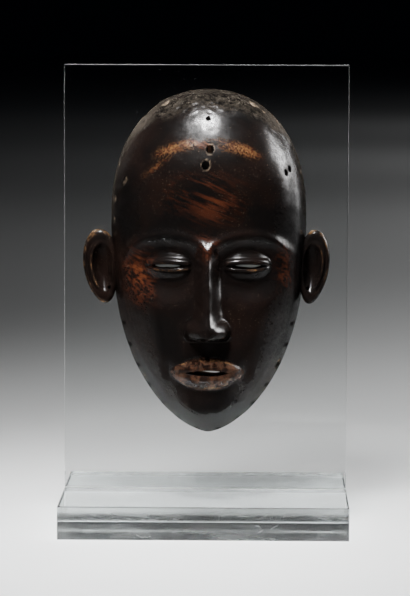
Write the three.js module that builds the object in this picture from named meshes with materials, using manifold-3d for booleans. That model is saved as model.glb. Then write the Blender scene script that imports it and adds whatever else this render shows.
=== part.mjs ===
// A Dan mask of dark wood in front of a clear acrylic sheet, which stands in a slotted acrylic block.
// Millimetres, +Z up. The mask faces -Y, and the origin is the centre of the block's underside.

import * as THREE from 'three';
import { mergeVertices } from 'three/addons/utils/BufferGeometryUtils.js';
import Module from 'manifold-3d';

const wasm = await Module();
wasm.setup();

// Clear stand
const baseWidth = 200;
const baseDepth = 160;
const baseHeight = 23;
const slotFloor = 3; // acrylic left under the slot
const panelThickness = 5;
const panelRise = 300; // how far the sheet stands above the block
const panelSetback = 84; // from the block's front edge to the sheet's front face
const fitClearance = 0.3; // between pieces that touch

// Mask, carved from one block
const maskHeight = 241;
const maskWidth = 137; // without the ears
const maskDepth = 57; // the face's general height above the rim plane
const wallThickness = 7;
const chinRise = 42; // from the block's top to the chin
const maskShift = 2; // the mask hangs this far right of the sheet's middle
const widestShare = 0.62; // share of the height where the head is widest

// Proportions of the face, as shares of the mask's height or width
const eyeLine = 0.5;
const browLine = 0.582;
const noseBaseLine = 0.292;
const mouthLine = 0.195;
const eyeWidth = maskWidth / 5;
const noseHeight = 0.087 * maskHeight;
const lipHeight = 0.03 * maskHeight;
const mouthWidth = 1.85 * eyeWidth;

// Pierced and drilled openings
const eyeSlitWidth = 0.84 * eyeWidth;
const eyeSlitHeight = 3.2;
const mouthSlitWidth = 0.62 * mouthWidth;
const mouthSlitHeight = 4.2;
const crownHoleDiameter = 3.2;
const foreheadHoleDiameter = 5;
const templeHoleDiameter = 3.6;
const rimHoleDiameter = 2.4;
const rimHoleSpacing = 16;
const rimHoleHeight = 20; // from the rim plane to where the holes start, on the outline
const rimHoleSlant = 0.9; // how far they rise towards the front for each millimetre outwards
const rimHolesPerSide = 7;

// Ears
const earHeight = 52;
const earReach = { left: 20, right: 17 }; // how far each stands out from the head
const earRoot = 4.5; // how far an ear is sunk in the head's wall
const earMiddle = 0.487; // share of the mask's height
const earFront = 19; // height of the ear's rim above the rim plane
const earThickness = 7;

// Facets
const faceRows = 60;
const faceColumns = 44; // an even number, half on each side of the middle
const insideColumns = 12;
const earRings = 4;
const earSides = 20;
const holeSides = 8;

const panelFront = panelSetback - baseDepth / 2;
const rimPlane = panelFront - fitClearance;
const maskFoot = baseHeight + chinRise;

// Small curves

function bell(value, middle, spread) {
  return Math.exp(-(((value - middle) / spread) ** 2));
}

function ramp(value, from, to) {
  const share = THREE.MathUtils.clamp((value - from) / (to - from), 0, 1);
  return share * share * (3 - 2 * share);
}

function dome(distance, power = 0.5) {
  return Math.max(0, 1 - distance * distance) ** power;
}

// Shares from 0 to 1 that lie closer together where the weight is larger
function weightedShares(steps, weight) {
  const samples = 2000;
  const sums = [0];
  for (let i = 0; i < samples; i += 1) {
    sums.push(sums[i] + weight((i + 0.5) / samples));
  }
  const shares = [];
  let at = 0;
  for (let step = 0; step <= steps; step += 1) {
    const wanted = (sums[samples] * step) / steps;
    while (at < samples - 1 && sums[at + 1] < wanted) {
      at += 1;
    }
    shares.push((at + (wanted - sums[at]) / (sums[at + 1] - sums[at])) / samples);
  }
  return shares;
}

// The mask's form. x runs across from the mask's middle, z up from the chin, and the height is forward.

function halfWidth(share) {
  const crown = share > widestShare;
  const distance = crown ? (share - widestShare) / (1 - widestShare) : (widestShare - share) / widestShare;
  const [fall, fullness] = crown ? [2.4, 0.48] : [2.5, 0.62];
  return (maskWidth / 2) * Math.max(0, 1 - distance ** fall) ** fullness;
}

function middleHeight(share) {
  const hull = maskDepth * dome(2 * share - 1, 0.32);
  const forehead = 6 * bell(share, 0.76, 0.14);
  const chin = 5 * bell(share, 0.07, 0.05);
  const mouthMound = 4.5 * bell(share, mouthLine, 0.085);
  return hull + forehead + chin + mouthMound;
}

function eyeRelief(x, z) {
  const across = Math.abs(x) - eyeWidth;
  const up = z - eyeLine * maskHeight;
  const browReach = (browLine - eyeLine) * maskHeight;
  const fromEye = Math.hypot(across / eyeWidth, up / browReach);
  const socket = -7 * dome(fromEye / 1.1, 1);
  const brow = 2 * bell(fromEye, 1.12, 0.2) * ramp(up, -2, 10);
  const ball = 6.5 * dome(Math.hypot(across / (0.62 * eyeWidth), up / 11), 0.9);
  const lidCurve = Math.max(0, 1 - (across / (0.6 * eyeWidth)) ** 2);
  const upperLid = 2 * bell(up, 1.5 + 2.8 * lidCurve, 2.1) * ramp(lidCurve, 0, 0.3);
  const lowerLid = 1.4 * bell(up, -1.5 - 2 * lidCurve, 1.9) * ramp(lidCurve, 0, 0.3);
  return socket + brow + ball + upperLid + lowerLid;
}

function noseRelief(x, z) {
  const foot = noseBaseLine * maskHeight;
  const root = browLine * maskHeight;
  const share = (z - foot) / (root - foot);
  const underside = ramp(z, foot - 3, foot + 3);
  const rootFade = 1 - ramp(share, 0.7, 1.1);
  const ridgeHeight = (noseHeight * (1 - 0.7 * Math.max(0, share)) - 1.5 * bell(share, 0, 0.08)) * rootFade;
  const ridgeHalf = 7.5 + 5 * bell(share, 0.08, 0.16) + 1.5 * (1 - share);
  const ridge = ridgeHeight * (0.5 + 0.5 * Math.cos(Math.PI * Math.min(1, Math.abs(x) / (1.35 * ridgeHalf))));
  const wing = 0.4 * noseHeight * dome(Math.hypot((Math.abs(x) - 8.5) / 8, (z - foot - 5) / 10), 1);
  return (ridge + wing * (1 - ridge / (1.3 * noseHeight))) * underside;
}

function lipRelief(x, z) {
  const share = Math.abs(x) / (mouthWidth / 2);
  if (share >= 1) {
    return 0;
  }
  const up = z - mouthLine * maskHeight;
  const fullness = dome(share, 0.7);
  const bow = 1 - 0.12 * bell(share, 0, 0.16);
  const reach = up > 0 ? 1.4 * lipHeight * fullness * bow : 1.7 * lipHeight * fullness;
  const along = Math.abs(up) / Math.max(reach, 0.01);
  return lipHeight * fullness * (dome(along, 0.9) - 0.2 * dome(along * 2.5, 1));
}

function carvedHeight(x, z) {
  const philtrum = -1.2 * bell(x, 0, 3) * bell(z, 0.252 * maskHeight, 6);
  const cheek = 3 * bell(Math.abs(x), 36, 15) * bell(z, 0.37 * maskHeight, 24);
  const mouthCorner = -1.5 * bell(Math.abs(x), mouthWidth / 2 + 2, 5) * bell(z, mouthLine * maskHeight, 7);
  return eyeRelief(x, z) + noseRelief(x, z) + lipRelief(x, z) + philtrum + cheek + mouthCorner;
}

// A point of the carved outside: share is the height share, and turn runs from -1 at one rim to 1 at the other
function outsidePoint(share, turn) {
  const angle = (turn * Math.PI) / 2;
  const x = halfWidth(share) * Math.sign(angle) * Math.abs(Math.sin(angle)) ** 0.9;
  const z = share * maskHeight;
  const flank = Math.max(0, Math.cos(angle));
  const height = middleHeight(share) * flank ** 0.85 + carvedHeight(x, z) * ramp(flank, 0.12, 0.5);
  return new THREE.Vector3(x, -Math.max(height, 0), z);
}

// A point of the hollow inside, one wall in from the outside and without its relief
function insidePoint(share, turn) {
  const angle = (turn * Math.PI) / 2;
  const inner = wallThickness / maskHeight + share * (1 - (2 * wallThickness) / maskHeight);
  const width = Math.max(0, halfWidth(inner) - wallThickness) * Math.min(1, share * 30, (1 - share) * 30);
  const x = width * Math.sign(angle) * Math.abs(Math.sin(angle)) ** 0.9;
  const socketWall = 4; // extra depth left behind the eyes, which the relief takes away
  const hull = (maskDepth - wallThickness - socketWall) * dome(2 * share - 1, 0.38);
  const forehead = 6 * bell(share, 0.76, 0.14) * dome(2 * share - 1);
  const height = (hull + forehead) * Math.max(0, Math.cos(angle)) ** 0.85;
  return new THREE.Vector3(x, -height, inner * maskHeight);
}

// Closed meshes out of rows of points

function geometryOf(points, triangles) {
  const geometry = new THREE.BufferGeometry().setFromPoints(points);
  geometry.setIndex(triangles);
  return geometry;
}

function shellGeometry() {
  const points = [];
  const triangles = [];

  // Rows of point numbers: the first and the last row are one point each
  function pointRows(pointAt, rowShares, columnTurns) {
    return rowShares.map((share, row) => {
      const pole = row === 0 || row === rowShares.length - 1;
      const turns = pole ? [-1] : columnTurns;
      const numbers = turns.map((turn) => points.push(pointAt(share, turn)) - 1);
      return pole ? columnTurns.map(() => numbers[0]) : numbers;
    });
  }

  function addTriangle(a, b, c) {
    if (a !== b && b !== c && a !== c) {
      triangles.push(a, b, c);
    }
  }

  function addQuad(a, b, c, d) {
    addTriangle(a, b, c);
    addTriangle(a, c, d);
  }

  function addSurface(rows, facesForward) {
    for (let i = 0; i + 1 < rows.length; i += 1) {
      for (let j = 0; j + 1 < rows[i].length; j += 1) {
        const corners = [rows[i][j], rows[i][j + 1], rows[i + 1][j + 1], rows[i + 1][j]];
        if (2 * j >= rows[i].length - 1) {
          corners.push(corners.shift()); // the facets of the right half mirror those of the left
        }
        addQuad(...(facesForward ? corners : corners.reverse()));
      }
    }
  }

  const rise = (share) => (1 - Math.cos(Math.PI * share)) / 2;
  const rowWeight = (share) => {
    const z = rise(share);
    const features = 2 * bell(z, mouthLine, 0.055) + 2.5 * bell(z, noseBaseLine, 0.025);
    return 1 + features + 3 * bell(z, (eyeLine + browLine) / 2, 0.07);
  };
  const rowShares = weightedShares(faceRows, rowWeight).map(rise);
  const columnWeight = (share) => 1 + 1.1 * bell(share, 0.5, 0.2);
  const faceTurns = weightedShares(faceColumns, columnWeight).map((share) => 2 * share - 1);
  const insideTurns = weightedShares(insideColumns, () => 1).map((share) => 2 * share - 1);

  const outside = pointRows(outsidePoint, rowShares, faceTurns);
  const inside = pointRows(insidePoint, rowShares, insideTurns);
  addSurface(outside, true);
  addSurface(inside, false);
  for (let i = 0; i < faceRows; i += 1) {
    addQuad(outside[i][0], outside[i + 1][0], inside[i + 1][0], inside[i][0]);
    addQuad(outside[i + 1].at(-1), outside[i].at(-1), inside[i].at(-1), inside[i + 1].at(-1));
  }
  return geometryOf(points, triangles);
}

// One ear: a cupped, egg-shaped flap, its root sunk in the head's wall
function earGeometry(side, reach) {
  const points = [];
  const triangles = [];
  const half = (reach + earRoot) / 2;
  const middle = earMiddle * maskHeight;

  function earPoint(share, turn, height) {
    const angle = turn * 2 * Math.PI;
    const out = half - earRoot + half * share * Math.cos(angle) * (1 + 0.12 * Math.sin(angle));
    const z = middle + (earHeight / 2) * share * Math.sin(angle);
    const x = halfWidth(z / maskHeight) + out;
    return new THREE.Vector3(side * x, -height, z);
  }

  function frontHeight(share) {
    const bowl = 6.5 * dome(share / 0.78, 1);
    return earFront - bowl - 3 * share ** 6;
  }

  function backHeight(share) {
    return earFront - earThickness - 3.5 * dome(share, 0.6);
  }

  const rings = [];
  for (let ring = 1; ring <= earRings; ring += 1) {
    rings.push([ring / earRings, frontHeight]);
  }
  for (let ring = earRings; ring >= 1; ring -= 1) {
    rings.push([ring / earRings, backHeight]);
  }
  points.push(earPoint(0, 0, frontHeight(0)));
  for (const [share, heightAt] of rings) {
    for (let corner = 0; corner < earSides; corner += 1) {
      points.push(earPoint(share, corner / earSides, heightAt(share)));
    }
  }
  points.push(earPoint(0, 0, backHeight(0)));

  const number = (ring, corner) => 1 + ring * earSides + (corner % earSides);
  const last = points.length - 1;
  for (let corner = 0; corner < earSides; corner += 1) {
    triangles.push(0, number(0, corner), number(0, corner + 1));
    for (let ring = 0; ring + 1 < rings.length; ring += 1) {
      triangles.push(number(ring, corner), number(ring + 1, corner), number(ring + 1, corner + 1));
      triangles.push(number(ring, corner), number(ring + 1, corner + 1), number(ring, corner + 1));
    }
    triangles.push(number(rings.length - 1, corner), last, number(rings.length - 1, corner + 1));
  }
  if (side < 0) {
    triangles.reverse();
  }
  return geometryOf(points, triangles);
}

// Solids that cut the openings

const cutLength = 4 * maskDepth;

function slitGeometry(x, z, width, height) {
  const shape = new THREE.Shape();
  shape.moveTo(-width / 2, 0);
  shape.quadraticCurveTo(0, -height, width / 2, 0);
  shape.quadraticCurveTo(0, height, -width / 2, 0);
  const slit = new THREE.ExtrudeGeometry(shape, { depth: cutLength, bevelEnabled: false, curveSegments: 8 });
  return slit.rotateX(Math.PI / 2).translate(x, cutLength / 4, z);
}

function drillGeometry(point, direction, diameter, length) {
  const drill = new THREE.CylinderGeometry(diameter / 2, diameter / 2, length, holeSides);
  const turn = new THREE.Quaternion().setFromUnitVectors(new THREE.Vector3(0, 1, 0), direction.clone().normalize());
  return drill.applyQuaternion(turn).translate(point.x, point.y, point.z);
}

// A cutter on the outside's own normal, deep enough for the wall
function surfaceDrill(share, turn, diameter) {
  const step = 0.01;
  const point = outsidePoint(share, turn);
  const along = outsidePoint(share, turn + step).sub(outsidePoint(share, turn - step));
  const up = outsidePoint(share + step, turn).sub(outsidePoint(share - step, turn));
  return drillGeometry(point, along.cross(up), diameter, 4 * wallThickness);
}

// Holes near the rim, spaced along the lower edge of one side, slanting back into the hollow
function rimDrills(side) {
  const drills = [];
  let travelled = rimHoleSpacing / 2;
  let before = outsidePoint(0, side);
  for (let share = 0.002; share < widestShare && drills.length < rimHolesPerSide; share += 0.002) {
    const here = outsidePoint(share, side);
    travelled += here.distanceTo(before);
    if (travelled >= rimHoleSpacing) {
      travelled -= rimHoleSpacing;
      const out = new THREE.Vector3(here.z - before.z, 0, before.x - here.x).multiplyScalar(side).normalize();
      out.y = -rimHoleSlant;
      const point = new THREE.Vector3(here.x, -rimHoleHeight, here.z);
      drills.push(drillGeometry(point, out, rimHoleDiameter, 4 * wallThickness));
    }
    before = here;
  }
  return drills;
}

// Joins and cuts

function toSolid(geometry) {
  const bare = geometry.clone();
  bare.deleteAttribute('normal');
  bare.deleteAttribute('uv');
  const merged = mergeVertices(bare);
  return new wasm.Manifold(new wasm.Mesh({
    numProp: 3,
    vertProperties: new Float32Array(merged.attributes.position.array),
    triVerts: new Uint32Array(merged.index.array),
  }));
}

function toGeometry(solid) {
  const mesh = solid.getMesh();
  const geometry = new THREE.BufferGeometry();
  geometry.setAttribute('position', new THREE.BufferAttribute(mesh.vertProperties, 3));
  geometry.setIndex(new THREE.BufferAttribute(mesh.triVerts, 1));
  geometry.computeVertexNormals();
  return geometry;
}

// Pieces

const wood = new THREE.MeshStandardMaterial({ color: 0x1d120b, roughness: 0.35, metalness: 0 });
const acrylic = new THREE.MeshStandardMaterial({
  color: 0xe6eced, roughness: 0.05, metalness: 0, transparent: true, opacity: 0.3,
});

function makeMask() {
  let solid = toSolid(shellGeometry());
  solid = solid.add(toSolid(earGeometry(1, earReach.right)));
  solid = solid.add(toSolid(earGeometry(-1, earReach.left)));

  const cutters = [
    slitGeometry(0, mouthLine * maskHeight, mouthSlitWidth, mouthSlitHeight),
    surfaceDrill(0.92, 0, crownHoleDiameter),
    surfaceDrill(0.835, 0.01, foreheadHoleDiameter),
    surfaceDrill(0.79, -0.01, foreheadHoleDiameter),
    surfaceDrill(0.765, 0.6, templeHoleDiameter),
    surfaceDrill(0.775, 0.66, templeHoleDiameter),
  ];
  for (const side of [-1, 1]) {
    cutters.push(slitGeometry(side * eyeWidth, eyeLine * maskHeight, eyeSlitWidth, eyeSlitHeight));
    cutters.push(...rimDrills(side));
  }
  for (const cutter of cutters) {
    solid = solid.subtract(toSolid(cutter));
  }
  const mask = new THREE.Mesh(toGeometry(solid), wood);
  mask.name = 'mask';
  mask.position.set(maskShift, rimPlane, maskFoot);
  return mask;
}

function makePanel() {
  const height = baseHeight + panelRise - slotFloor - fitClearance;
  const panel = new THREE.Mesh(new THREE.BoxGeometry(baseWidth, panelThickness, height), acrylic);
  panel.name = 'back_panel';
  panel.position.set(0, panelFront + panelThickness / 2, slotFloor + fitClearance + height / 2);
  return panel;
}

// The block's section across the slot, drawn from its front edge and drawn out over its width
function makeBase() {
  const slotFront = panelFront - fitClearance;
  const slotBack = panelFront + panelThickness + fitClearance;
  const section = new THREE.Shape([
    new THREE.Vector2(-baseDepth / 2, 0),
    new THREE.Vector2(baseDepth / 2, 0),
    new THREE.Vector2(baseDepth / 2, baseHeight),
    new THREE.Vector2(slotBack, baseHeight),
    new THREE.Vector2(slotBack, slotFloor),
    new THREE.Vector2(slotFront, slotFloor),
    new THREE.Vector2(slotFront, baseHeight),
    new THREE.Vector2(-baseDepth / 2, baseHeight),
  ]);
  const block = new THREE.ExtrudeGeometry(section, { depth: baseWidth, bevelEnabled: false });
  block.rotateX(Math.PI / 2).rotateZ(Math.PI / 2).translate(-baseWidth / 2, 0, 0);
  const base = new THREE.Mesh(block, acrylic);
  base.name = 'base';
  return base;
}

const group = new THREE.Group();
group.add(makeMask(), makePanel(), makeBase());

export default group;
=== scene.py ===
import math
import bpy
import numpy as np
from mathutils import Matrix, Vector, noise


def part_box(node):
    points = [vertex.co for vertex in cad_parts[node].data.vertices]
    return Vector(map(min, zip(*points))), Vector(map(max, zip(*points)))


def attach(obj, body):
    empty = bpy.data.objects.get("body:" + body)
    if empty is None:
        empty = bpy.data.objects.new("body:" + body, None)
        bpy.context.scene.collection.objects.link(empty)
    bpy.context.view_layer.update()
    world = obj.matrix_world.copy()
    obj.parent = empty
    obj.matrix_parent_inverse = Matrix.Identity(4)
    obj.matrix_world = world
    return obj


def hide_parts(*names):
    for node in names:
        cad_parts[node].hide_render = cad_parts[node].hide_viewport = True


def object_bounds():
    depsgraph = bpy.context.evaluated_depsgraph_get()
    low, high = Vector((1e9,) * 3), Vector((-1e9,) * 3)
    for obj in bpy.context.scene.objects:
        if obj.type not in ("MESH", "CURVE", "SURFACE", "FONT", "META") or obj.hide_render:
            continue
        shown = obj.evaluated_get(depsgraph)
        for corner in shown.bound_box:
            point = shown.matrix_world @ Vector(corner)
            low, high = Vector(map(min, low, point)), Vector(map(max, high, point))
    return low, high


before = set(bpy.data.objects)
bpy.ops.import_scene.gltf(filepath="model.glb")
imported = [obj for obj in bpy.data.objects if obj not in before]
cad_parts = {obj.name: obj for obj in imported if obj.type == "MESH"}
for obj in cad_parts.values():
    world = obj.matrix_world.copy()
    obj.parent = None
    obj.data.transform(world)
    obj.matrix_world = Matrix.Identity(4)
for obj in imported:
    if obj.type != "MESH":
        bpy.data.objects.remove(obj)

cadLow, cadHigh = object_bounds()
maskLow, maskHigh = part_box("mask")
panelLow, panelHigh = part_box("back_panel")
baseLow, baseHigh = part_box("base")
mm = 0.001


# Helpers for modelling

def deselectAll():
    if bpy.context.object and bpy.context.object.mode != "OBJECT":
        bpy.ops.object.mode_set(mode="OBJECT")
    bpy.ops.object.select_all(action="DESELECT")


def pick(piece):
    deselectAll()
    piece.select_set(True)
    bpy.context.view_layer.objects.active = piece


def settle(piece, name):
    pick(piece)
    bpy.ops.object.transform_apply(location=True, rotation=True, scale=True)
    piece.name = name
    piece.data.name = name
    return piece


def addBlock(name, low, high):
    deselectAll()
    middle = (Vector(low) + Vector(high)) / 2
    size = Vector(high) - Vector(low)
    bpy.ops.mesh.primitive_cube_add(size=1, location=middle)
    block = bpy.context.object
    block.scale = size
    return settle(block, name)


def applyModifier(piece, kind, **settings):
    pick(piece)
    modifier = piece.modifiers.new(kind.title(), kind)
    for key, value in settings.items():
        setattr(modifier, key, value)
    bpy.ops.object.modifier_apply(modifier=modifier.name)


def combine(piece, other, operation):
    applyModifier(piece, "BOOLEAN", object=other, operation=operation, solver="MANIFOLD")
    shape = other.data
    bpy.data.objects.remove(other)
    bpy.data.meshes.remove(shape)


def mergeDoubles(piece, distance=0.000001):
    pick(piece)
    bpy.ops.object.mode_set(mode="EDIT")
    bpy.ops.mesh.select_all(action="SELECT")
    bpy.ops.mesh.remove_doubles(threshold=distance)
    bpy.ops.mesh.normals_make_consistent(inside=False)
    bpy.ops.object.mode_set(mode="OBJECT")


def finishPiece(piece, material, node):
    piece.data.materials.clear()
    piece.data.materials.append(material)
    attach(piece, "root")
    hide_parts(node)


def readVertices(piece, kind="co"):
    values = np.empty(len(piece.data.vertices) * 3)
    piece.data.vertices.foreach_get(kind, values)
    return values.reshape(-1, 3)


def writePoints(piece, points):
    piece.data.vertices.foreach_set("co", points.ravel())
    piece.data.update()


def neighbourMean(piece, values):
    edges = np.empty(len(piece.data.edges) * 2, dtype=np.int64)
    piece.data.edges.foreach_get("vertices", edges)
    edges = edges.reshape(-1, 2)
    total = np.zeros_like(values)
    count = np.zeros(len(values))
    for a, b in ((0, 1), (1, 0)):
        np.add.at(total, edges[:, a], values[edges[:, b]])
        np.add.at(count, edges[:, a], 1)
    count = np.maximum(count, 1)
    return total / (count[:, None] if values.ndim == 2 else count)


def addAttribute(piece, name, values, domain="POINT"):
    attribute = piece.data.attributes.new(name, "FLOAT", domain)
    attribute.data.foreach_set("value", np.clip(values, 0, 1).astype(np.float32))


# Small curves, on numbers or arrays

def bell(value, middle, spread):
    return np.exp(-(((value - middle) / spread) ** 2))


def ramp(value, start, end):
    share = np.clip((value - start) / (end - start), 0, 1)
    return share * share * (3 - 2 * share)


def dome(distance, power=0.5):
    return np.maximum(0, 1 - distance * distance) ** power


def weightedShares(steps, weight, count=4000):
    samples = (np.arange(count) + 0.5) / count  # more steps where the weight is larger
    sums = np.concatenate(([0], np.cumsum(weight(samples))))
    return np.interp(np.linspace(0, sums[-1], steps + 1), sums, np.linspace(0, 1, count + 1))


def roughField(points, size, seed, octaves=3):
    offset = Vector((seed * 17.3, seed * 5.1, seed * 9.7))
    return np.array([noise.fractal(Vector(p) / size + offset, 0.6, 2.0, octaves) for p in points])


def scoopField(points, size, seed):
    offset = Vector((seed * 7.7, seed * 3.3, seed * 5.9))
    return np.array([noise.voronoi(Vector(p) / size + offset)[0][0] for p in points])


# The mask, carved from one block of wood
# Sizes are in millimetres, with the chin at z 0 and the rim plane at height 0.

form = {
    "height": (maskHigh.z - maskLow.z) / mm,
    "width": 137,  # without the ears
    "depth": 57,
    "wall": 7,
    "shift": 2,  # right of the frame's middle
    "widest": 0.62,  # lines up the face, as shares of the height
    "eyeLine": 0.5,
    "browLine": 0.582,
    "foreheadLine": 0.76,
    "noseBaseLine": 0.292,
    "mouthLine": 0.195,
    "chinLine": 0.07,
    "crownCurve": (2.4, 0.48),  # powers of the outline over and under the widest line
    "jawCurve": (2.5, 0.62),
    "hullRound": 0.32,  # powers of the profile, the hollow and the cross-section
    "hollowRound": 0.38,
    "sideRound": 0.9,
    "frontRound": 0.85,
    "thickMiddle": 4,  # added to the wall along the middle
    "foreheadRise": 6,
    "chinRise": 5,
    "mouthRise": 4.5,
    "socketDepth": 7.5,
    "browRise": 1.8,
    "eyeballRise": 6.8,
    "lidHalf": 1.4,  # half of the opening between the lids
    "upperLidRise": 2.2,
    "lowerLidRise": 1.5,
    "noseHeight": 21,
    "wingPlace": (9.5, 5),  # out from the middle and up from the foot of the nose
    "tipRise": 2.4,
    "lipHeight": 7.2,
    "upperLip": 1.4,  # reach of each lip from the mouth line, in lip heights
    "lowerLip": 1.7,
    "cheekRise": 3,
    "rows": 300,
    "outsideColumns": 190,
    "insideColumns": 56,
    "rimColumns": 4,
    "creaseAngle": 70,
}
form["eyeWidth"] = form["width"] / 5
form["mouthWidth"] = 1.85 * form["eyeWidth"]


def level(line):
    return form[line] * form["height"]


def halfWidth(share):
    above = np.clip((share - form["widest"]) / (1 - form["widest"]), 0, 1)
    below = np.clip((form["widest"] - share) / form["widest"], 0, 1)
    crownBend, crownRound = form["crownCurve"]
    jawBend, jawRound = form["jawCurve"]
    crown = np.maximum(0, 1 - above ** crownBend) ** crownRound
    jaw = np.maximum(0, 1 - below ** jawBend) ** jawRound
    return form["width"] / 2 * np.where(share > form["widest"], crown, jaw)


def flankAt(z):
    return halfWidth(z / form["height"])


def foreheadSwell(share):
    return form["foreheadRise"] * bell(share, form["foreheadLine"], 0.14)


def middleHeight(share):
    hull = form["depth"] * dome(2 * share - 1, form["hullRound"])
    chin = form["chinRise"] * bell(share, form["chinLine"], 0.05)
    mouthMound = form["mouthRise"] * bell(share, form["mouthLine"], 0.085)
    return hull + foreheadSwell(share) + chin + mouthMound


def eyeRelief(x, z):
    across = np.abs(x) - form["eyeWidth"]
    up = z - level("eyeLine")
    browReach = (form["browLine"] - form["eyeLine"]) * form["height"]
    reach = np.where(up > 0, 1.12, 1.5) * browReach
    fromEye = np.hypot(across / (1.12 * form["eyeWidth"]), up / reach)
    socket = -form["socketDepth"] * dome(fromEye, 1.5)
    brow = form["browRise"] * bell(fromEye, 1.0, 0.13) * ramp(up, 1, 13)
    ball = form["eyeballRise"] * dome(np.hypot(across / (0.62 * form["eyeWidth"]), up / 11), 0.85)
    curve = np.maximum(0, 1 - (across / (0.6 * form["eyeWidth"])) ** 2)
    ends = ramp(curve, 0, 0.3)
    aboveSlit = up - form["lidHalf"] * curve - 0.3
    belowSlit = -up - form["lidHalf"] * curve - 0.3
    upperLid = form["upperLidRise"] * ramp(aboveSlit, -0.9, 0.6) * (1 - ramp(aboveSlit, 2.4, 5))
    lowerLid = form["lowerLidRise"] * ramp(belowSlit, -0.9, 0.6) * (1 - ramp(belowSlit, 1.4, 3.6))
    return socket + brow + ball + (upperLid + lowerLid) * ends


def noseRelief(x, z):
    foot = level("noseBaseLine")
    root = level("browLine")
    share = (z - foot) / (root - foot)
    underside = ramp(z, foot - 2.4, foot + 2.4)
    rootFade = 1 - ramp(share, 0.7, 1.1)
    fall = 1 - 0.7 * np.maximum(0, share)
    ridgeHeight = (form["noseHeight"] * fall - 1.5 * bell(share, 0, 0.08)) * rootFade
    ridgeHalf = 7 + 5 * bell(share, 0.08, 0.16) + 1.5 * (1 - share)
    ridge = ridgeHeight * np.exp(-(np.abs(x) / (0.79 * ridgeHalf)) ** 2.2)
    wingOut, wingUp = form["wingPlace"]
    fromWing = np.hypot((np.abs(x) - wingOut) / 7, (z - foot - wingUp) / 8.5)
    wing = 0.42 * form["noseHeight"] * dome(fromWing, 1.1)
    groove = -1.2 * bell(fromWing, 1.08, 0.16) * ramp(z, foot, foot + 5) * ramp(np.abs(x), 5, 10)
    tip = form["tipRise"] * dome(np.hypot(x / 12, (z - foot - 7) / 11), 2)
    return (ridge + wing * (1 - ridge / (1.3 * form["noseHeight"])) + groove + tip) * underside


def lipPlace(x, z, bowDepth=0):
    share = np.minimum(1, np.abs(x) / (form["mouthWidth"] / 2))
    up = z - level("mouthLine")
    bow = 1 - bowDepth * bell(share, 0, 0.16)
    lips = np.where(up > 0, form["upperLip"] * bow, form["lowerLip"])
    reach = np.maximum(0.01, lips * form["lipHeight"] * dome(share, 0.7))
    return share, np.abs(up), reach


def lipRelief(x, z):
    share, away, reach = lipPlace(x, z, 0.12)
    along = away / reach
    border = 0.16 * bell(along, 0.86, 0.09)
    profile = dome(along, 0.72) + border - 0.22 * dome(along * 2.5, 1)
    return form["lipHeight"] * dome(share, 0.7) * profile


def lipShare(x, z):
    share, away, reach = lipPlace(x, z)
    return 1 - ramp(away / reach, 0.9, 1.15)


def lipEdge(x, z):
    share, away, reach = lipPlace(x, z)
    nearSlit = bell(away / 4.5, 0.8, 0.35) * (share < 0.75)
    return np.maximum(bell(away / reach, 0.9, 0.13) * (share < 1), 0.6 * nearSlit)


def carvedHeight(x, z):
    philtrum = -1.2 * bell(x, 0, 3) * bell(z, 0.252 * form["height"], 6)
    cheek = form["cheekRise"] * bell(np.abs(x), 36, 15) * bell(z, 0.37 * form["height"], 24)
    atMouth = bell(z, level("mouthLine"), 7)
    corner = -1.8 * bell(np.abs(x), form["mouthWidth"] / 2 + 1.5, 4) * atMouth
    return eyeRelief(x, z) + noseRelief(x, z) + lipRelief(x, z) + philtrum + cheek + corner


def acrossAt(width, angle):
    return width * np.sign(angle) * np.abs(np.sin(angle)) ** form["sideRound"]


def outsidePoints(share, turn):
    angle = turn * np.pi / 2
    x = acrossAt(halfWidth(share), angle)
    z = share * form["height"]
    flank = np.maximum(0, np.cos(angle))
    front = middleHeight(share) * flank ** form["frontRound"]
    height = front + carvedHeight(x, z) * ramp(flank, 0.12, 0.5)
    return np.stack((x, -np.maximum(height, 0), z), axis=-1)


def hollowHeight(share):
    hull = (form["depth"] - form["wall"] - form["thickMiddle"]) * dome(2 * share - 1, form["hollowRound"])
    return hull + foreheadSwell(share) * dome(2 * share - 1)


def insidePoints(share, turn):
    angle = turn * np.pi / 2
    edge = form["wall"] / form["height"]
    inner = edge + share * (1 - 2 * edge)
    closing = np.sqrt(np.minimum(1, np.minimum(share, 1 - share) * 30))
    x = acrossAt(np.maximum(0, halfWidth(inner) - form["wall"]) * closing, angle)
    height = hollowHeight(share) * np.maximum(0, np.cos(angle)) ** form["frontRound"]
    return np.stack((x, -height, inner * form["height"]), axis=-1)


def insideHeight(x, z):
    edge = form["wall"] / form["height"]
    share = np.clip((z / form["height"] - edge) / (1 - 2 * edge), 0, 1)
    width = np.maximum(0.01, halfWidth(edge + share * (1 - 2 * edge)) - form["wall"])
    sine = np.clip(np.abs(x) / width, 0, 1) ** (1 / form["sideRound"])
    return hollowHeight(share) * dome(sine) ** form["frontRound"]


def facePoint(x, z):
    share = z / form["height"]
    sine = min(1, abs(x) / halfWidth(share)) ** (1 / form["sideRound"])
    turn = math.copysign(2 / math.pi * math.asin(sine), x)
    return outsidePoints(np.array([share]), np.array([turn]))[0] * np.array((1, -1, 1))


maskOrigin = np.array((form["shift"] * mm, maskHigh.y, maskLow.z))


def placeMask(points):
    return points * mm + maskOrigin


def localPoints(piece):
    points = (readVertices(piece) - maskOrigin) / mm
    return points[:, 0], -points[:, 1], points[:, 2]


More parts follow.
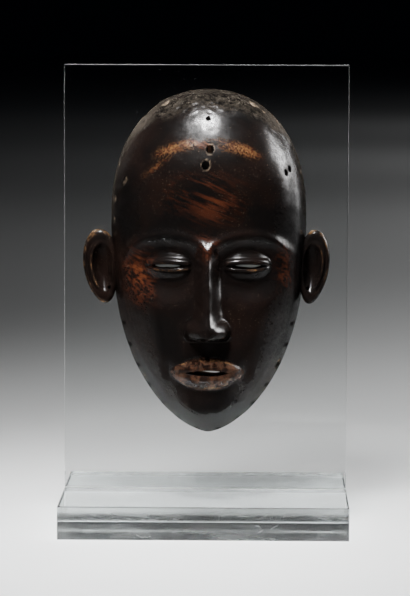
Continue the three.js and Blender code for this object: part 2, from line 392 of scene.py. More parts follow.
def makeShell():
    rows = form["rows"]
    counts = [form["outsideColumns"], form["rimColumns"], form["insideColumns"], form["rimColumns"]]
    columns = sum(counts)
    deselectAll()
    bpy.ops.mesh.primitive_grid_add(x_subdivisions=columns, y_subdivisions=rows, size=1)
    shell = bpy.context.object
    grid = readVertices(shell)
    column = np.rint((grid[:, 0] + 0.5) * columns).astype(int)
    row = np.rint((grid[:, 1] + 0.5) * rows).astype(int)

    def rise(share):
        return (1 - np.cos(np.pi * share)) / 2

    def rowWeight(share):
        z = rise(share)
        eyes = 1.7 * bell(z, (form["eyeLine"] + form["browLine"]) / 2 - 0.015, 0.06)
        nose = 2.6 * bell(z, form["noseBaseLine"], 0.022)
        return 1 + eyes + nose + 1.9 * bell(z, form["mouthLine"], 0.05)

    shares = rise(weightedShares(rows, rowWeight))
    outsideTurns = 2 * weightedShares(counts[0], lambda s: 1 + 1.1 * bell(s, 0.5, 0.2)) - 1
    insideTurns = np.linspace(1, -1, counts[2] + 1)
    share = shares[row]
    points = np.zeros_like(grid)
    starts = np.cumsum([0] + counts)
    outside = column <= starts[1]
    points[outside] = outsidePoints(share[outside], outsideTurns[column[outside]])
    inside = (column >= starts[2]) & (column <= starts[3])
    points[inside] = insidePoints(share[inside], insideTurns[column[inside] - starts[2]])
    for start, side in ((starts[1], 1), (starts[3], -1)):
        rim = (column > start) & (column < start + form["rimColumns"])
        along = ((column[rim] - start) / form["rimColumns"])[:, None]
        outer = outsidePoints(share[rim], np.full(rim.sum(), side))
        inner = insidePoints(share[rim], np.full(rim.sum(), side))
        begin, end = (outer, inner) if side > 0 else (inner, outer)
        points[rim] = begin * (1 - along) + end * along
    last = column == columns
    points[last] = outsidePoints(share[last], np.full(last.sum(), -1))
    writePoints(shell, placeMask(points))
    mergeDoubles(shell)
    return shell


earForm = {
    "height": 52,
    "reach": {-1: 20, 1: 17},  # out from the head, on the left and on the right
    "root": 4.5,  # how far the ear runs into the head
    "middle": 0.487,  # share of the mask's height
    "front": 19,
    "thickness": 7,
    "backBulge": 3.5,
    "bowl": 7.5,
    "scapha": 1.6,
    "tragus": 2.4,
    "rolledEdge": 3,
    "rings": 44,
    "sides": 96,
}


def makeEar(side):
    ear = earForm
    deselectAll()
    bpy.ops.mesh.primitive_grid_add(x_subdivisions=ear["sides"], y_subdivisions=ear["rings"], size=1)
    piece = bpy.context.object
    grid = readVertices(piece)
    angle = (grid[:, 0] + 0.5) * 2 * np.pi
    path = grid[:, 1] + 0.5  # 0 is the middle of the front, 0.5 the edge, 1 the middle of the back
    share = 1 - np.abs(2 * path - 1) ** 1.15
    half = (ear["reach"][side] + ear["root"]) / 2
    out = half - ear["root"] + half * share * np.cos(angle) * (1 + 0.12 * np.sin(angle))
    middle = ear["middle"] * form["height"]
    z = middle + ear["height"] / 2 * share * np.sin(angle)
    x = flankAt(z) + out
    across = share * np.cos(angle)
    up = share * np.sin(angle)
    towardsHead = ramp(-np.cos(angle), 0.1, 0.9)
    lobe = ramp(-up, 0.5, 0.85)
    bowl = ear["bowl"] * dome(np.hypot((across + 0.12) / 0.6, (up + 0.02) / 0.66), 0.8)
    scapha = ear["scapha"] * bell(share, 0.74, 0.09) * (1 - lobe) * (1 - towardsHead)
    edge = ear["rolledEdge"] * share ** 8
    tragus = ear["tragus"] * bell(across, -0.62, 0.16) * bell(up, -0.12, 0.2)
    front = ear["front"] - bowl - scapha - edge + tragus - 1.2 * lobe * (1 - share)
    back = ear["front"] - ear["thickness"] - ear["backBulge"] * dome(share, 0.6)
    blend = ramp(path, 0.47, 0.53)
    height = front * (1 - blend) + back * blend
    writePoints(piece, placeMask(np.stack((side * x, -height, z), axis=-1)))
    mergeDoubles(piece)
    return piece


drillForm = {
    "crown": 3.2,  # diameters
    "forehead": 5,
    "temple": 3.6,
    "rim": 2.4,
    "ear": 2.2,
    "places": ((0.92, 0, "crown"), (0.835, 0.01, "forehead"), (0.79, -0.01, "forehead"),
               (0.765, 0.6, "temple"), (0.775, 0.66, "temple")),  # height share and turn round the head
    "lean": 0.75,  # drilled slanting down into the hollow
    "rimSpacing": 16,
    "rimHeight": 20,
    "rimSlant": 0.9,
    "rimCount": 7,
    "lobeRise": 103,
    "lobeOut": 3.2,
    "lobeDirection": (0, -1, 0.2),
    "lobeLength": 12,
    "rightRim": ((167, 7), (160, 5), (150, 7)),  # small holes over the right ear: height up and forward
    "rightDirection": (1, -0.4, 0.1),
    "rightLength": 10,
    "sides": 20,
    "eyeSlit": (0.84 * form["eyeWidth"], 3.2),
    "mouthSlit": (0.62 * form["mouthWidth"], 4.2),
    "slitMiddle": 55,
    "slitLength": 70,
    "slitSides": 48,
}


def addDrill(point, direction, diameter, length):
    deselectAll()
    radius = diameter / 2 * mm
    bpy.ops.mesh.primitive_cylinder_add(vertices=drillForm["sides"], radius=radius, depth=length * mm)
    drill = bpy.context.object
    turn = Vector((0, 0, 1)).rotation_difference(Vector(direction)).to_matrix().to_4x4()
    drill.matrix_world = Matrix.Translation(Vector(placeMask(np.array(point)))) @ turn
    return drill


def addSlit(x, z, width, height):
    deselectAll()
    bpy.ops.mesh.primitive_cylinder_add(vertices=drillForm["slitSides"], radius=1, depth=1)
    slit = bpy.context.object
    points = readVertices(slit)
    angle = np.arctan2(points[:, 1], points[:, 0])
    across = np.cos(angle)
    up = np.sign(np.sin(angle)) * np.maximum(0, 1 - across ** 2) * (np.abs(np.sin(angle)) > 0.001)
    deep = -drillForm["slitMiddle"] + drillForm["slitLength"] * points[:, 2]
    lens = np.stack((x + width / 2 * across, deep, z + height / 2 * up), axis=-1)
    writePoints(slit, placeMask(lens))
    mergeDoubles(slit)
    return slit


def surfaceFrame(share, turn):
    step = 0.01

    def at(s, t):
        return outsidePoints(np.array([float(s)]), np.array([float(t)]))[0]

    along = at(share, turn + step) - at(share, turn - step)
    up = at(share + step, turn) - at(share - step, turn)
    return at(share, turn), np.cross(along, up)


def rimHoles(side):
    holes = []
    shares = np.arange(0, form["widest"], 0.002)
    line = outsidePoints(shares, np.full(len(shares), side))
    travelled = drillForm["rimSpacing"] / 2
    for before, here in zip(line[:-1], line[1:]):
        travelled += np.linalg.norm(here - before)
        if travelled >= drillForm["rimSpacing"] and len(holes) < drillForm["rimCount"]:
            travelled -= drillForm["rimSpacing"]
            out = side * np.array((here[2] - before[2], 0, before[0] - here[0]))
            out = out / np.linalg.norm(out) - np.array((0, drillForm["rimSlant"], 0))
            holes.append((np.array((here[0], -drillForm["rimHeight"], here[2])), out))
    return holes


def drillList():
    drills = []
    for share, turn, kind in drillForm["places"]:
        point, normal = surfaceFrame(share, turn)
        normal = normal / np.linalg.norm(normal) + np.array((0, 0, drillForm["lean"]))
        drills.append((point, normal, drillForm[kind], 4 * form["wall"]))
    for side in (-1, 1):
        for point, out in rimHoles(side):
            drills.append((point, out, drillForm["rim"], 4 * form["wall"]))
        rise = drillForm["lobeRise"]
        lobe = np.array((side * (flankAt(rise) + drillForm["lobeOut"]), -earForm["front"], rise))
        drills.append((lobe, np.array(drillForm["lobeDirection"]), drillForm["ear"], drillForm["lobeLength"]))
    for z, height in drillForm["rightRim"]:
        point = np.array((flankAt(z), -height, z))
        direction = np.array(drillForm["rightDirection"])
        drills.append((point, direction, drillForm["rim"], drillForm["rightLength"]))
    return drills


nostrilForm = {
    "radii": (2.9, 4.3, 5.0),
    "out": 6.2,
    "forward": 11,  # from the face's own front
    "drop": 1.0,  # below the foot of the nose
    "segments": 24,
    "rings": 14,
}


def addNostril(side):
    nose = nostrilForm
    deselectAll()
    bpy.ops.mesh.primitive_uv_sphere_add(segments=nose["segments"], ring_count=nose["rings"], radius=1)
    nostril = bpy.context.object
    forward = middleHeight(form["noseBaseLine"]) + nose["forward"]
    middle = np.array((side * nose["out"], -forward, level("noseBaseLine") - nose["drop"]))
    writePoints(nostril, placeMask(readVertices(nostril) * np.array(nose["radii"]) + middle))
    return nostril


def cutOpenings(mask):
    cutters = [addSlit(0, level("mouthLine"), *drillForm["mouthSlit"])]
    cutters += [addDrill(*drill) for drill in drillList()]
    for side in (-1, 1):
        cutters.append(addSlit(side * form["eyeWidth"], level("eyeLine"), *drillForm["eyeSlit"]))
        cutters.append(addNostril(side))
    deselectAll()
    for cutter in cutters:
        cutter.select_set(True)
    bpy.context.view_layer.objects.active = cutters[0]
    bpy.ops.object.join()
    combine(mask, bpy.context.object, "DIFFERENCE")


chipForm = {
    # place across and up on the face, half length, and the way it runs, in degrees
    "places": ((-57.5, 178, 2.6, 60), (-65, 165, 2.2, 80), (-65.5, 150, 2, 85), (31.5, 231, 4.2, -32),
               (-30, 231.5, 3, 30), (47, 220, 2.6, 60), (50.5, 217, 3, -50), (57, 208, 3.2, -60),
               (64.5, 184, 2.4, -75), (-45, 223, 2.6, 45), (38, 226, 2.2, -40), (-62, 190, 2.2, 70),
               (49, 50, 4, 65), (-44, 41, 2.4, -60), (30, 17, 2.2, 40)),
    "narrow": 0.55,
    "depth": 1.3,
    "roughness": 0.9,
}


def chipShare(x, height, z):
    share = np.zeros(len(x))
    for chipX, chipZ, length, angle in chipForm["places"]:
        middle = facePoint(chipX, chipZ)
        run, rise = math.cos(math.radians(angle)), math.sin(math.radians(angle))
        along = (x - middle[0]) * run + (z - middle[2]) * rise
        away = np.hypot((z - middle[2]) * run - (x - middle[0]) * rise, 0.7 * (height - middle[1]))
        distance = np.hypot(along, away / chipForm["narrow"]) / length
        share = np.maximum(share, 1 - ramp(distance, 0.5, 1.1))
    return share


surfaceForm = {
    "bandReach": (23, 14),  # how far the rough band comes forward, and how much more at the top
    "chisel": 2.3,  # size of the cuts in the band
    "chiselStretch": (0.42, 0.8, 0.8),
    "chiselDepth": 1.5,
    "chiselSink": 0.9,
    "ridge": (0.3, 0.62),
    "adze": 10,  # size of the cuts in the hollow
    "adzeStretch": (1.0, 0.7, 0.55),
    "adzeDepth": 2,
    "adzeSink": 0.4,
    "wave": 0.22,
    "ripple": 0.035,
}


def crownBand(x, height, z):
    reach, topReach = surfaceForm["bandReach"]
    wave = 1.6 * np.sin(x / 5) + 1.2 * np.sin(x / 2.3 + 1)
    edge = reach + topReach * ramp(z, 200, 236) + wave
    strength = 0.6 * ramp(z, 130, 165) + 0.4 * ramp(z, 196, 222)  # it thins out down the sides
    return (1 - ramp(height, edge - 8, edge + 5)) * strength


def roughenSurface(mask):
    cut = surfaceForm
    x, height, z = localPoints(mask)
    normals = readVertices(mask, "normal")
    points = readVertices(mask)
    inside = (height < insideHeight(x, z) + 1.5) & (height < 60)
    crown = crownBand(x, height, z) * ~inside * ramp(height, 0, 3)
    push = np.zeros(len(points))
    outer = np.flatnonzero((crown > 0.01) & (normals[:, 1] < 0.9))
    spread = points[outer] / mm + 2.4 * np.sin(points[outer][:, [2, 0, 1]] / mm / 5.5)
    chisel = scoopField(spread * np.array(cut["chiselStretch"]), cut["chisel"], 1)
    uneven = 0.3 * roughField(points[outer] / mm, 9, 2, 2)
    push[outer] = crown[outer] * (-cut["chiselSink"] + cut["chiselDepth"] * chisel + uneven)
    # ridge: lighter colour on the raised chisel ridges, a painted highlight
    ridge = np.zeros(len(points))
    ridge[outer] = ramp(chisel, *cut["ridge"])
    addAttribute(mask, "ridge", ridge)
    adze = np.flatnonzero(inside & (height > 1.5))
    hollowed = scoopField(points[adze] / mm * np.array(cut["adzeStretch"]), cut["adze"], 2)
    push[adze] = (-cut["adzeSink"] + cut["adzeDepth"] * hollowed) * ramp(height[adze], 1.5, 6)
    face = np.flatnonzero(~inside & (crown < 0.01))
    waves = cut["wave"] * roughField(points[face] / mm, 16, 3, 2)
    push[face] = waves + cut["ripple"] * roughField(points[face] / mm, 3.2, 5, 2)
    chips = chipShare(x, height, z)
    chipped = np.flatnonzero(chips > 0.01)
    broken = chipForm["roughness"] * roughField(points[chipped] / mm, 1.6, 4, 2)
    push[chipped] -= chips[chipped] * (chipForm["depth"] + broken)
    writePoints(mask, points + normals * push[:, None] * mm)


# Wear, warm places, painted shade in and round the holes and a painted rim light, stored on the mask for its
# material

wearForm = {
    "arcLine": (205, 0.0062, 0.02),  # height, fall to the sides and tilt of the line over the forehead
    "arcSpread": 3,
    "arcLeft": (-42, -22),
    "arcRight": (24, 42),
    "forkPlace": (-34, 190),
    "forkSlope": 0.75,
    "forkShare": 0.4,
    # strength, place across and its spread, place up and its spread
    "patches": ((0.6, -2, 25, 167, 17), (0.9, -47, 11, 113, 19),
                (0.8, 54, 7, 118, 19), (0.6, 0, 9, 133, 9)),
    "earEdge": 0.46,
    "lipEdge": 0.6,
    "sideShine": 0.5,
}


def arcShare(x, z):
    top, fall, tilt = wearForm["arcLine"]
    band = bell(z, top - fall * x ** 2 - tilt * x, wearForm["arcSpread"])
    band = band * ramp(x, *wearForm["arcLeft"]) * (1 - ramp(x, *wearForm["arcRight"]))
    across, up = wearForm["forkPlace"]
    fork = bell(z, up + wearForm["forkSlope"] * (x - across), 2.4) * bell(x, across, 9)
    return np.maximum(band, wearForm["forkShare"] * fork)


def warmPatches(x, z):
    warmth = np.zeros(len(x))
    for strength, across, width, up, tall in wearForm["patches"]:
        warmth += strength * bell(x, across, width) * bell(z, up, tall)
    return warmth


def handledShare(x, height, z):
    ears = ramp(np.abs(x), flankAt(z) - 1, flankAt(z) + 1) * bell(z, 117, 40)
    lips = lipShare(x, z) * (height > 25)
    lids = bell(np.hypot((np.abs(x) - form["eyeWidth"]) / 20, (z - level("eyeLine")) / 13), 0, 0.8)
    wings = bell(np.abs(x), 12, 5) * bell(z, level("noseBaseLine") + 5, 8)
    rim = 1 - ramp(height, 1, 4)
    touched = np.clip(0.2 + ears + lips + lids + wings + 0.6 * rim, 0, 1)
    return touched - 0.2 * bell(x, 0, 5) * (z > 80)


def earEdgeShare(x, height, z):
    reach = np.where(x > 0, earForm["reach"][1], earForm["reach"][-1])
    half = (reach + earForm["root"]) / 2
    across = (np.abs(x) - flankAt(z) - half + earForm["root"]) / half
    up = (z - earForm["middle"] * form["height"]) / (earForm["height"] / 2)
    edge = ramp(np.hypot(across, up), 0.8, 0.96) * ramp(across, -0.5, 0.1)
    return edge * (height > 12) * (np.abs(x) > 66)


def surfaceBulge(mask, points, normals):
    pull = neighbourMean(mask, points) - points
    spacing = np.maximum(0.05, np.sqrt(neighbourMean(mask, (pull ** 2).sum(axis=1))))
    bulge = -(pull * normals).sum(axis=1) / np.maximum(spacing, 0.12)
    for _ in range(2):
        bulge = neighbourMean(mask, bulge)
    return bulge


def shadeAheadOfRimHole(offset, axis, inside):
    # painted shade: dark wood forward of a rim hole, standing in for the dark opening, measured inwards from
    # the wood beside the hole
    outward = axis[[0, 2]] / math.hypot(axis[0], axis[2])
    forward = -offset[:, 1]
    sideways = np.abs(offset[:, 0] * outward[1] - offset[:, 2] * outward[0])
    inward = -offset[:, 0] * outward[0] - offset[:, 2] * outward[1]
    sameSide = np.abs(inward) < 12
    beside = (np.abs(forward) < 2) & (sideways < 3) & sameSide & ~inside
    deep = inward - (inward[beside].mean() if beside.any() else 0)
    rubbed = ramp(forward, -2, 0) * (1 - ramp(forward, 9, 13)) * sameSide
    return rubbed * (1 - ramp(deep, 1.4, 2.4)) * (1 - ramp(sideways, 1.5, 2.2))


def drillMarks(mask, place, inside):
    ring = np.zeros(len(place))
    walls = np.zeros(len(place))
    rimHoleShade = np.zeros(len(place))
    for point, direction, diameter, length in drillList():
        axis = direction / np.linalg.norm(direction)
        offset = place - point
        along = offset @ axis
        across = np.sqrt(np.maximum(0, (offset ** 2).sum(axis=1) - along ** 2))
        near = np.abs(along) < length / 2 + 1
        radius = diameter / 2
        # the holes' inner walls, which the material paints black as the shade inside them
        walls = np.maximum(walls, near * (across < radius + 0.08) * (across > radius - 0.3))
        if diameter == drillForm["forehead"]:
            ring = np.maximum(ring, near * bell(across, radius + 0.6, 0.38))
        if diameter == drillForm["rim"]:
            # painted shade round each rim hole, standing in for its dark opening
            rimHoleShade = np.maximum(rimHoleShade, near * (1 - ramp(across, radius + 0.8, radius + 2)))
        if point[1] == -drillForm["rimHeight"]:
            rimHoleShade = np.maximum(rimHoleShade, shadeAheadOfRimHole(offset, axis, inside))
    walls = walls * (1 - ring * ramp(neighbourMean(mask, ring * (walls < 0.5)), 0, 0.1))
    return ring, np.maximum(walls, rimHoleShade)


def storeMarks(mask):
    x, height, z = localPoints(mask)
    normals = readVertices(mask, "normal")
    inside = (height < insideHeight(x, z) + 1.5) & (np.abs(x) < form["width"] / 2)
    outside = (~inside).astype(float)
    crown = crownBand(x, height, z)
    arc = arcShare(x, z)
    # walls: the hole walls and the wood round the rim holes, painted black as shade
    ring, walls = drillMarks(mask, np.stack((x, -height, z), axis=-1), inside)
    bulge = surfaceBulge(mask, readVertices(mask) / mm, normals)
    edges = np.maximum(wearForm["lipEdge"] * lipEdge(x, z) * (height > 25),
                       wearForm["earEdge"] * earEdgeShare(x, height, z))
    worn = np.maximum(ramp(bulge, 0.25, 0.9) * handledShare(x, height, z), edges)
    facing = normals
    for _ in range(8):
        facing = neighbourMean(mask, facing)
    away = np.hypot(facing[:, 0], np.minimum(0, facing[:, 2]))
    side = wearForm["sideShine"] * ramp(away, 0.4, 0.8) * ramp(height, 2, 8)
    shine = np.maximum(ramp(facing[:, 2], 0.02, 0.38), side) * (1 - crown) * (1 - walls)
    marks = {
        "polish": shine * outside,
        "wornEdge": worn * outside,
        # hollow: darker in concave places, plus the painted hole shade; drilled: the painted hole shade alone
        "hollow": np.maximum(ramp(-bulge, 0.2, 0.9) * outside, walls),
        "drilled": walls,
        "inside": inside.astype(float),
        "crown": crown * outside,
        # painted rim light: a lighter border down the flanks of the crown band
        "paintedRimLight": crown * ramp(np.abs(x), 34, 52) * outside,
        "lips": lipShare(x, z) * (height > 25) * outside,
        "warmth": (arc + warmPatches(x, z)) * outside,
        "arc": arc * outside,
        "holeRing": ring * outside * (height > 20),
        "chips": chipShare(x, height, z) * outside,
    }
    for name, values in marks.items():
        addAttribute(mask, name, values)


def makeMask():
    mask = makeShell()
    print("shell", len(mask.data.vertices))
    for side in (-1, 1):
        combine(mask, makeEar(side), "UNION")
    print("ears joined", len(mask.data.vertices))
    cutOpenings(mask)
    print("openings cut", len(mask.data.vertices))
    settle(mask, "carved_mask")
    roughenSurface(mask)
    storeMarks(mask)
    print("surface roughened and marked")
    pick(mask)
    bpy.ops.object.shade_smooth_by_angle(angle=math.radians(form["creaseAngle"]))
    finishPiece(mask, maskWood(), "mask")


# Materials

def newMaterial(name):
    material = bpy.data.materials.new(name)
    material.use_nodes = True
    return material, material.node_tree.nodes, material.node_tree.links


def setSockets(shader, values):
    for name, value in values.items():
        shader.inputs[name].default_value = value


def newGroup(name, inputs, outputs):
    group = bpy.data.node_groups.new(name, "ShaderNodeTree")
    for direction, sockets in (("INPUT", inputs), ("OUTPUT", outputs)):
        for socketName, kind, value in sockets:
            socket = group.interface.new_socket(socketName, in_out=direction, socket_type="NodeSocket" + kind)
            if value is not None:
                socket.default_value = value
    return group, group.nodes.new("NodeGroupInput"), group.nodes.new("NodeGroupOutput")


def addNode(tree, kind, settings=None, **inputs):
    node = tree.nodes.new("ShaderNode" + kind)
    for key, value in (settings or {}).items():
        setattr(node, key, value)
    for key, value in inputs.items():
        socket = node.inputs[int(key[1:])] if key[0] == "i" and key[1:].isdigit() else node.inputs[key]
        if isinstance(value, bpy.types.NodeSocket):
            tree.links.new(value, socket)
        else:
            socket.default_value = value
    return node


def mathNode(tree, operation, first, second=0.5, clamp=False):
    settings = {"operation": operation, "use_clamp": clamp}
    return addNode(tree, "Math", settings, i0=first, i1=second).outputs[0]


def multiply(tree, first, second):
    return mathNode(tree, "MULTIPLY", first, second)


def mixColour(tree, share, first, second):
    return addNode(tree, "Mix", {"data_type": "RGBA"}, i0=share, i6=first, i7=second).outputs[2]


def mapRange(tree, value, low, high, outLow=0.0, outHigh=1.0):
    node = addNode(tree, "MapRange", {"interpolation_type": "SMOOTHSTEP"},
                   i0=value, i1=low, i2=high, i3=outLow, i4=outHigh)
    return node.outputs[0]


def noiseNode(tree, place, scale, detail=3.0, rough=0.55, distortion=0.0):
    node = addNode(tree, "TexNoise", None,
                   Vector=place, Scale=scale, Detail=detail, Roughness=rough, Distortion=distortion)
    return node.outputs["Fac"]


def attributeNode(tree, name):
    settings = {"attribute_name": name, "attribute_type": "GEOMETRY"}
    return addNode(tree, "Attribute", settings).outputs["Fac"]


def makeStreakGroup():
    group, source, sink = newGroup(
        "streaks",
        [("Vector", "Vector", None), ("Scale", "Float", 60.0),
         ("Stretch", "Float", 8.0), ("Turn", "Float", 0.0)],
        [("Value", "Float", None)],
    )
    turn = addNode(group, "CombineXYZ", None, Y=source.outputs["Turn"])
    turned = addNode(group, "Mapping", None, Vector=source.outputs["Vector"], Rotation=turn.outputs[0])
    size = addNode(group, "CombineXYZ", None, X=1.0, Y=1.0, Z=source.outputs["Stretch"])
    settings = {"operation": "MULTIPLY"}
    stretched = addNode(group, "VectorMath", settings, i0=turned.outputs[0], i1=size.outputs[0])
    value = noiseNode(group, stretched.outputs[0], source.outputs["Scale"], 4.0, 0.6, 0.3)
    group.links.new(value, sink.inputs["Value"])
    return group


def makeSpeckGroup():
    group, source, sink = newGroup(
        "specks",
        [("Vector", "Vector", None), ("Scale", "Float", 900.0),
         ("Threshold", "Float", 0.72), ("Softness", "Float", 0.04)],
        [("Value", "Float", None)],
    )
    grains = noiseNode(group, source.outputs["Vector"], source.outputs["Scale"], 2.0, 0.55)
    full = mathNode(group, "ADD", source.outputs["Threshold"], source.outputs["Softness"])
    value = mapRange(group, grains, source.outputs["Threshold"], full)
    group.links.new(value, sink.inputs["Value"])
    return group


def placeGroup(tree, name, makeGroup, place, **values):
    node = tree.nodes.new("ShaderNodeGroup")
    node.node_tree = bpy.data.node_groups.get(name) or makeGroup()
    tree.links.new(place, node.inputs["Vector"])
    for key, value in values.items():
        node.inputs[key].default_value = value
    return node.outputs["Value"]


def streaks(tree, place, scale, stretch, turn):
    return placeGroup(tree, "streaks", makeStreakGroup, place, Scale=scale, Stretch=stretch, Turn=turn)


def specks(tree, place, scale, threshold, softness):
    return placeGroup(tree, "specks", makeSpeckGroup, place,
                      Scale=scale, Threshold=threshold, Softness=softness)


woodLook = {
    "black": (0.0026, 0.0022, 0.0021, 1),
    "brown": (0.0055, 0.0031, 0.0025, 1),
    "red": (0.022, 0.0068, 0.0038, 1),
    "rust": (0.056, 0.017, 0.007, 1),
    "ochre": (0.13, 0.07, 0.027, 1),
    "pale": (0.4, 0.3, 0.21, 1),
    "bronze": (0.03, 0.017, 0.011, 1),
    "crown": (0.0058, 0.005, 0.0044, 1),
    # painted highlight colour of the chisel ridges
    "ridge": (0.02, 0.017, 0.0135, 1),
    # also the colour of the painted rim light on the crown band's flanks
    "strokeAndRimLight": (0.06, 0.05, 0.041, 1),
    "inside": (0.06, 0.034, 0.02, 1),
}

woodPattern = {
    "broad": (22.0, 4.0, 0.6),  # noise: scale, detail and roughness
    "fine": (160.0, 4.0, 0.65),
    "brokenArc": (75.0, 4.0, 0.75),
    "contour": (230.0, 1.0, 0.5, 1.5),  # and distortion
    "wiped": (1000.0, 2.0),
    "grain": (210.0, 0.1, 1.2),  # streaks: scale, stretch and turn
    "scratch": (420.0, 0.08, 1.1),
    "hair": (640.0, 0.06, 1.15),
    "furrows": (380.0, 0.35, 0.8),
    "grains": (800.0, 0.44, 0.16),  # specks: scale, threshold and softness
    "dust": (1250.0, 0.67, 0.06),
    "pores": (900.0, 0.35, 0.3),
    "cells": 620.0,
    "bumpStrength": 0.35,
    "bumpDepth": 0.0004,
    "leastRough": {"crown": 0.62, "lips": 0.42, "inside": 0.6, "chips": 0.6, "hollow": 0.55},
    "gloss": {"IOR": 1.5, "Specular IOR Level": 0.0, "Coat IOR": 1.5, "Coat Roughness": 0.24},
}


def paint(tree, colour, *coats):
    for share, name in coats:
        colour = mixColour(tree, share, colour, woodLook[name])
    return colour


def warmColour(tree, place, broad, fine, grain, grainy, mark):
    hair = streaks(tree, place, *woodPattern["hair"])
    patch = multiply(tree, mark["warmth"], mapRange(tree, broad, 0.3, 0.62, 0.3, 1.0))
    fibres = mathNode(tree, "ADD", multiply(tree, grain, 0.4), multiply(tree, hair, 0.6))
    combed = multiply(tree, patch, mapRange(tree, fibres, 0.4, 0.6))
    broken = mapRange(tree, noiseNode(tree, place, *woodPattern["brokenArc"]), 0.38, 0.64, 0.05, 0.85)
    dusty = multiply(tree, mark["arc"], broken)
    return paint(
        tree, woodLook["black"],
        (mapRange(tree, broad, 0.38, 0.7), "brown"),
        (mapRange(tree, combed, 0.03, 0.4), "red"),
        (mapRange(tree, combed, 0.32, 0.85), "rust"),
        (multiply(tree, dusty, mapRange(tree, fine, 0.3, 0.5, 0.1, 0.55)), "rust"),
        (multiply(tree, dusty, grainy), "ochre"),
    )


def lipColour(tree, fine, grainy):
    rusty = multiply(tree, grainy, mapRange(tree, fine, 0.4, 0.6, 0.05, 0.5))
    return paint(tree, woodLook["brown"], (mapRange(tree, fine, 0.42, 0.6), "bronze"), (rusty, "rust"))


def crownColour(tree, place, fine, grain, mark):
    middle = mathNode(tree, "SUBTRACT", noiseNode(tree, place, *woodPattern["contour"]), 0.5)
    contour = mapRange(tree, mathNode(tree, "ABSOLUTE", middle), 0.006, 0.026, 1.0, 0.0)
    return paint(
        tree, woodLook["black"],
        (mapRange(tree, fine, 0.35, 0.65), "crown"),
        # painted highlight on the raised chisel ridges
        (multiply(tree, mark["ridge"], mapRange(tree, fine, 0.3, 0.6, 0.3, 1.0)), "ridge"),
        (multiply(tree, contour, mapRange(tree, grain, 0.38, 0.6)), "strokeAndRimLight"),
        # painted rim light along the band's flanks
        (multiply(tree, mark["paintedRimLight"], mapRange(tree, fine, 0.3, 0.6, 0.25, 0.8)), "strokeAndRimLight"),
    )


def woodColour(tree, place, broad, fine, grain, mark):
    grainy = specks(tree, place, *woodPattern["grains"])
    colour = warmColour(tree, place, broad, fine, grain, grainy, mark)
    colour = mixColour(tree, mark["lips"], colour, lipColour(tree, fine, grainy))
    colour = mixColour(tree, mark["crown"], colour, crownColour(tree, place, fine, grain, mark))
    inside = paint(tree, woodLook["brown"], (mapRange(tree, grain, 0.35, 0.65), "inside"))
    colour = mixColour(tree, mark["inside"], colour, inside)
    edge = multiply(tree, mark["wornEdge"], mapRange(tree, fine, 0.3, 0.62))
    dust = specks(tree, place, *woodPattern["dust"])
    return paint(
        tree, colour,
        (mapRange(tree, edge, 0.15, 0.75, 0.0, 0.85), "bronze"),
        (multiply(tree, mapRange(tree, edge, 0.25, 0.8), grainy), "ochre"),
        (mapRange(tree, edge, 0.62, 1.0, 0.0, 0.7), "pale"),
        (multiply(tree, mark["holeRing"], mapRange(tree, fine, 0.4, 0.6, 0.03, 0.26)), "pale"),
        (multiply(tree, dust, mapRange(tree, broad, 0.4, 0.65, 0.03, 0.22)), "pale"),
        (multiply(tree, mark["chips"], mapRange(tree, fine, 0.3, 0.5, 0.35, 0.95)), "pale"),
        # darker in concave places, and black in and round the drilled holes as painted shade
        (multiply(tree, mark["hollow"], 0.7), "black"),
        (mark["drilled"], "black"),
    )


def woodRelief(tree, place, fine, grain, scratch, mark):
    cells = addNode(tree, "TexVoronoi", {"feature": "F1"}, Vector=place, Scale=woodPattern["cells"])
    furrows = streaks(tree, place, *woodPattern["furrows"])
    pits = mathNode(tree, "ADD", cells.outputs["Distance"], furrows)
    relief = multiply(tree, multiply(tree, mark["crown"], pits), 3.0)
    pores = specks(tree, place, *woodPattern["pores"])
    creases = multiply(tree, mark["lips"], fine)
    for share, weight in ((creases, 2.0), (grain, 0.5), (scratch, 0.3), (pores, 0.22)):
        relief = mathNode(tree, "ADD", relief, multiply(tree, share, weight))
    strength, depth = woodPattern["bumpStrength"], woodPattern["bumpDepth"]
    return addNode(tree, "Bump", None, Strength=strength, Distance=depth, Height=relief).outputs[0]


def maskWood():
    material, nodes, links = newMaterial("handled_black_wood")
    tree = material.node_tree
    shader = nodes["Principled BSDF"]
    place = addNode(tree, "TexCoord").outputs["Object"]
    broad = noiseNode(tree, place, *woodPattern["broad"])
    fine = noiseNode(tree, place, *woodPattern["fine"])
    grain = streaks(tree, place, *woodPattern["grain"])
    scratch = streaks(tree, place, *woodPattern["scratch"])
    names = ("warmth", "crown", "lips", "wornEdge", "hollow", "inside",
             "holeRing", "drilled", "chips", "arc", "ridge", "paintedRimLight", "polish")
    mark = {name: attributeNode(tree, name) for name in names}
    links.new(woodColour(tree, place, broad, fine, grain, mark), shader.inputs["Base Color"])

    scratched = mapRange(tree, scratch, 0.55, 0.75, 0.0, 0.1)
    rough = mathNode(tree, "ADD", mapRange(tree, broad, 0.3, 0.75, 0.2, 0.36), scratched)
    for name, least in woodPattern["leastRough"].items():
        rough = mathNode(tree, "MAXIMUM", rough, multiply(tree, mark[name], least))
    links.new(rough, shader.inputs["Roughness"])
    links.new(woodRelief(tree, place, fine, grain, scratch, mark), shader.inputs["Normal"])

    wiped = multiply(tree, mark["polish"], mapRange(tree, broad, 0.2, 0.7, 1.0, 0.6))
    specked = multiply(tree, noiseNode(tree, place, *woodPattern["wiped"]), 0.5)
    rubbed = mathNode(tree, "ADD", multiply(tree, scratch, 0.5), specked)
    wiped = multiply(tree, wiped, mapRange(tree, rubbed, 0.38, 0.6, 0.4, 1.0))
    links.new(mathNode(tree, "ADD", wiped, 0.02, True), shader.inputs["Coat Weight"])
    setSockets(shader, woodPattern["gloss"])
    return material


